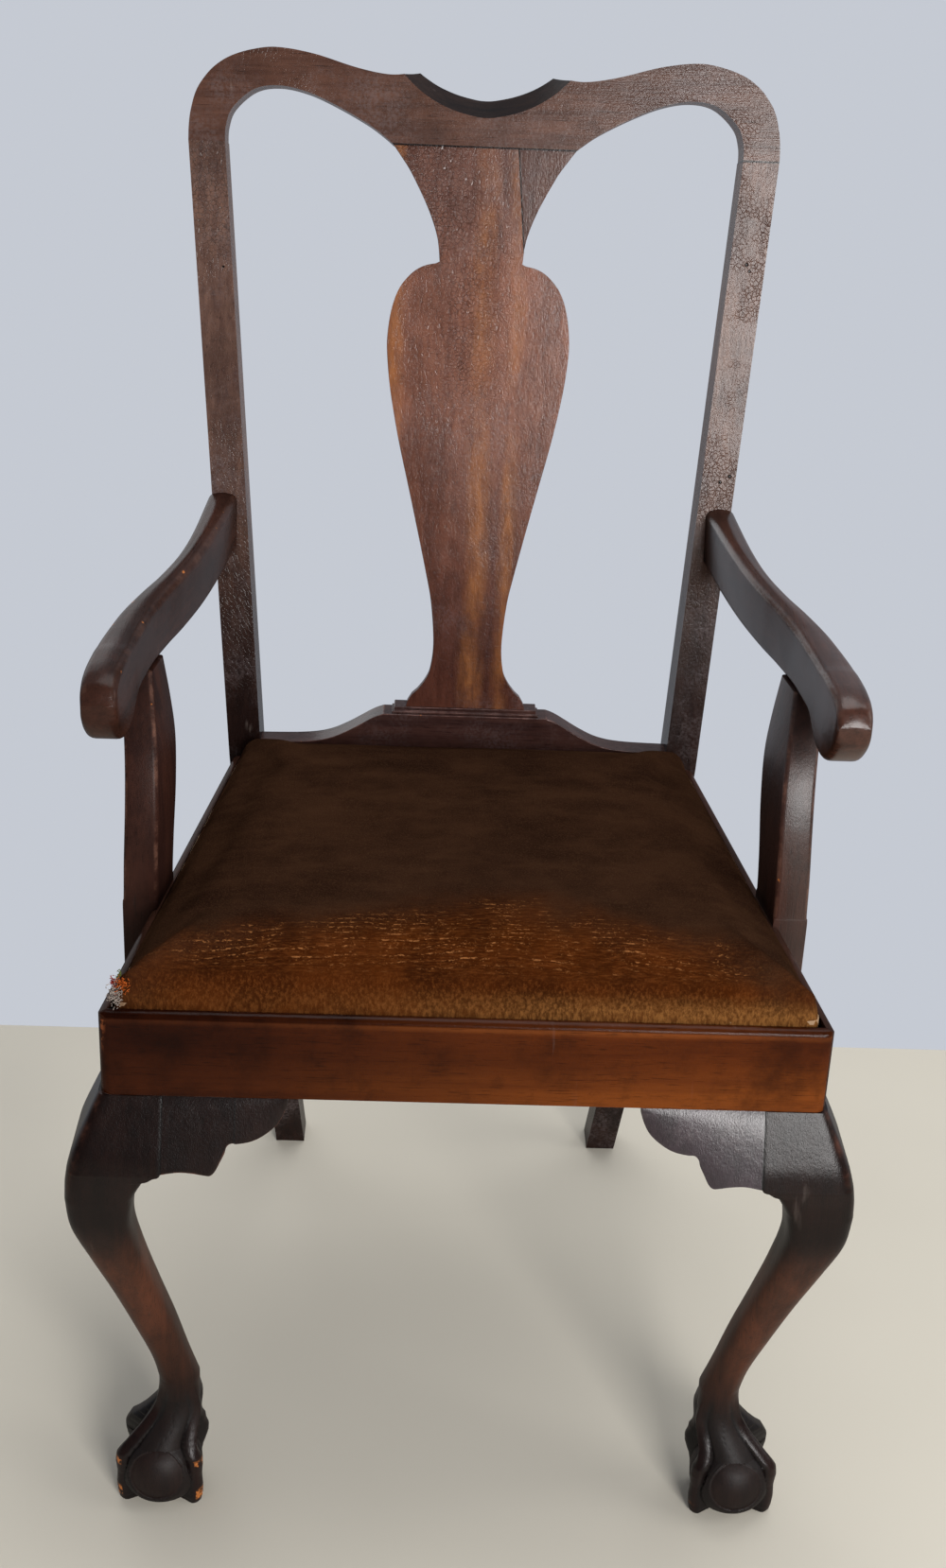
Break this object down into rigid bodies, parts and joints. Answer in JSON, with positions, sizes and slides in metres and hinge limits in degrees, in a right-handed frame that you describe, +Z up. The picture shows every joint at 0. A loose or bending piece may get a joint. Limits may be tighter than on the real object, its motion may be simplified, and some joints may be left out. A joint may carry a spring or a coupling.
{
  "type": "child armchair",
  "caption": "Child's dark wood armchair with a solid vase splat, serpentine crest, open scroll arms, carved claw-and-ball front feet and a drop-in velvet seat",
  "frame": {"origin": "On the floor, below the middle of the chair's width and of its depth", "axes": "X to the right seen from the front, Y to the back, Z up"},
  "size_m": [0.4168, 0.448, 0.767],
  "materials": {
    "dark_wood": "old dark mahogany with a worn satin polish",
    "red_wood": "redder mahogany with a crackled polish",
    "inner_wood": "bare, unpolished inner wood",
    "screw_brass": "dull old brass",
    "jute_webbing": "coarse woven jute",
    "hessian_cloth": "open plain weave",
    "stuffing": "matted fibre",
    "seat_velvet": "worn olive brown pile velvet",
    "black_cloth": "thin black lining cloth",
    "tack_iron": "blued iron tacks"
  },
  "bodies": {
    "chair_frame": {"crest_rail": "dark_wood", "splat": "red_wood", "splat_ear": "red_wood", "shoe_plinth": "dark_wood", "splat_shoe": "dark_wood", "back_rail": "dark_wood", "seat_cleat": "inner_wood", "stile_left": "dark_wood", "stile_right": "dark_wood", "front_rail": "red_wood", "side_rail_left": "dark_wood", "side_rail_right": "dark_wood", "front_leg_left": "dark_wood", "front_leg_right": "dark_wood", "knee_bracket_front_left": "dark_wood", "bracket_tip_front_left": "dark_wood", "knee_bracket_front_right": "dark_wood", "knee_bracket_side_left": "dark_wood", "knee_bracket_side_right": "dark_wood", "arm_left": "dark_wood", "arm_right": "dark_wood", "arm_support_left": "dark_wood", "arm_support_right": "dark_wood", "corner_block_front_left": "inner_wood", "corner_block_front_right": "inner_wood", "corner_block_back_left": "inner_wood", "corner_block_back_right": "inner_wood", "corner_screws": "screw_brass", "crest_dowels": "inner_wood", "arm_screws": "screw_brass", "arm_plugs": "dark_wood", "support_screws": "screw_brass", "support_dowels": "inner_wood"},
    "seat": {"seat_frame_front": "inner_wood", "seat_frame_back": "inner_wood", "seat_frame_left": "inner_wood", "seat_frame_right": "inner_wood", "webbing_long": "jute_webbing", "webbing_cross": "jute_webbing", "hessian": "hessian_cloth", "seat_stuffing": "stuffing", "seat_cover": "seat_velvet", "dust_cover": "black_cloth", "dust_cover_tacks": "tack_iron"}
  },
  "joints": [
    {"name": "seat_lift", "type": "slide", "parent": "chair_frame", "child": "seat", "axis": [0, 0, 1], "range_m": [0, 0.18]}
  ]
}
